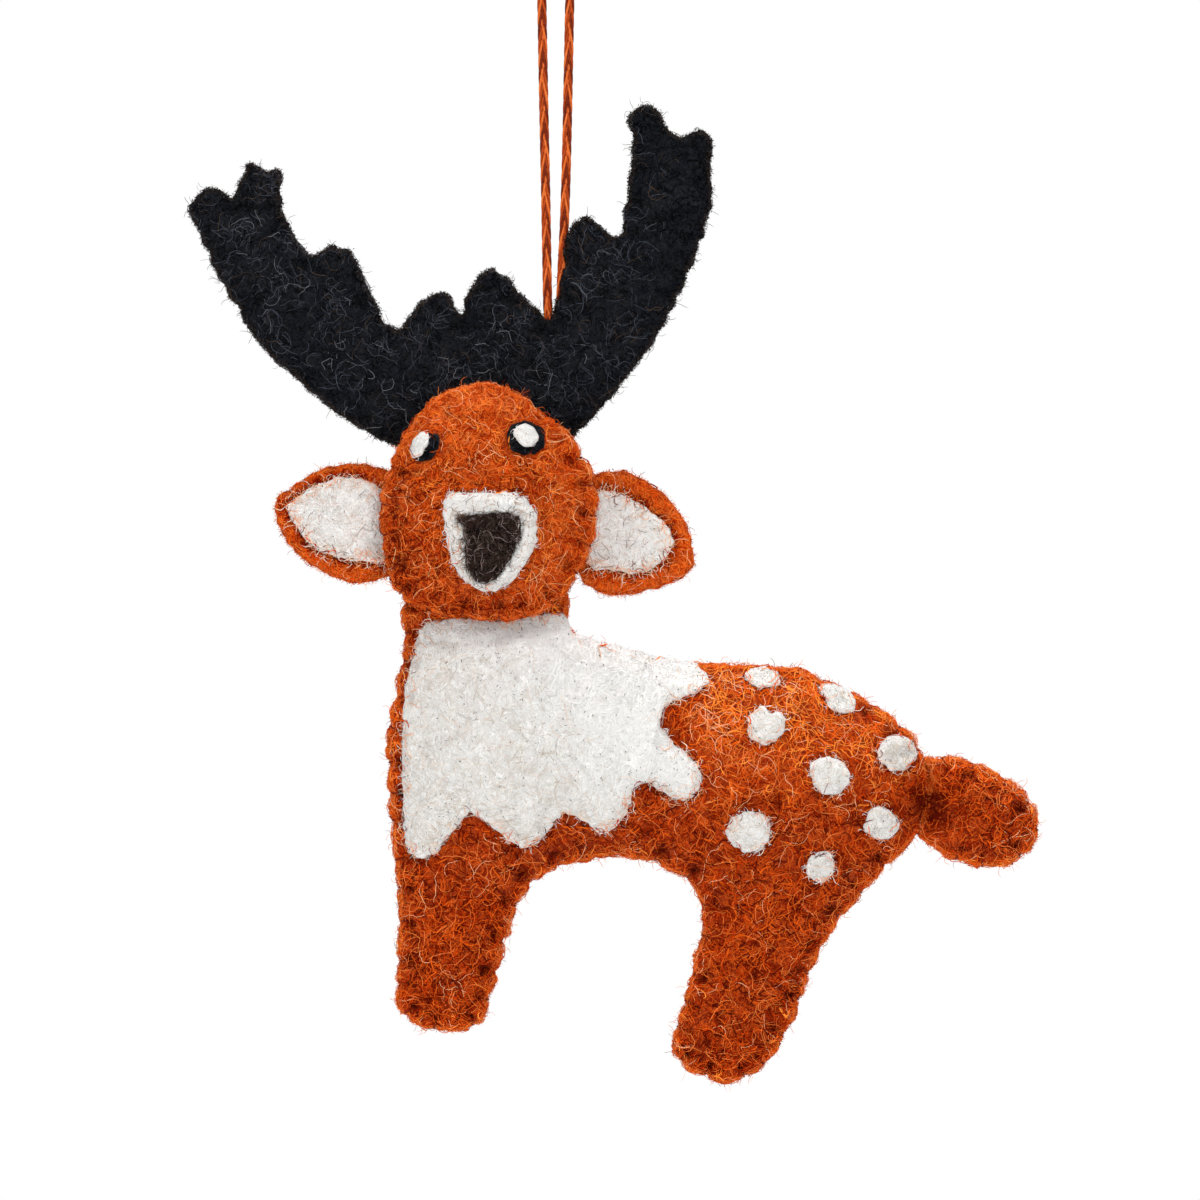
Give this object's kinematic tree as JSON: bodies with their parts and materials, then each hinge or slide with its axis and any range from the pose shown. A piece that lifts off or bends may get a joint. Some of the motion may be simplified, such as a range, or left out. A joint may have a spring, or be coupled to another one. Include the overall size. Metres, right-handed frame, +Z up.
{
  "type": "felt ornament",
  "caption": "Stuffed wool felt stag ornament with antlers, ears, a zigzag bib, spotted flank and tail, whip-stitched at its edges and hung by a thin cord loop.",
  "frame": {"origin": "inner top of the hanging loop, where a hook or twig carries the ornament", "axes": "+Z up along the hanging cord, -Y is the face of the ornament, +X is towards the tail"},
  "size_m": [0.1, 0.0288, 0.1403],
  "materials": {
    "rust_felt": "matte hand-felted wool, rust orange with lighter curled fibres",
    "black_felt": "matte hand-felted wool, black with stray grey fibres",
    "white_felt": "matte hand-felted wool, off-white with a few dark fibres",
    "brown_felt": "matte hand-felted wool, very dark brown",
    "stuffing": "loose fibre filling",
    "waxed_cord": "thin braided cotton cord, lightly waxed"
  },
  "bodies": {
    "root": {"body_front_panel": "rust_felt", "body_back_panel": "rust_felt", "head_front_panel": "rust_felt", "head_back_panel": "rust_felt", "tail_front_panel": "rust_felt", "tail_back_panel": "rust_felt", "left_ear": "rust_felt", "right_ear": "rust_felt", "crown_front_panel": "black_felt", "crown_back_panel": "black_felt", "left_eye": "black_felt", "right_eye": "black_felt", "bib": "white_felt", "muzzle": "white_felt", "left_ear_lining": "white_felt", "right_ear_lining": "white_felt", "left_eye_highlight": "white_felt", "right_eye_highlight": "white_felt", "spot_1": "white_felt", "spot_2": "white_felt", "spot_3": "white_felt", "spot_4": "white_felt", "spot_5": "white_felt", "spot_6": "white_felt", "spot_7": "white_felt", "spot_8": "white_felt", "nose": "brown_felt", "body_filling": "stuffing", "head_filling": "stuffing", "crown_filling": "stuffing", "tail_filling": "stuffing", "hanging_cord": "waxed_cord", "cord_knot": "waxed_cord"}
  },
  "joints": []
}
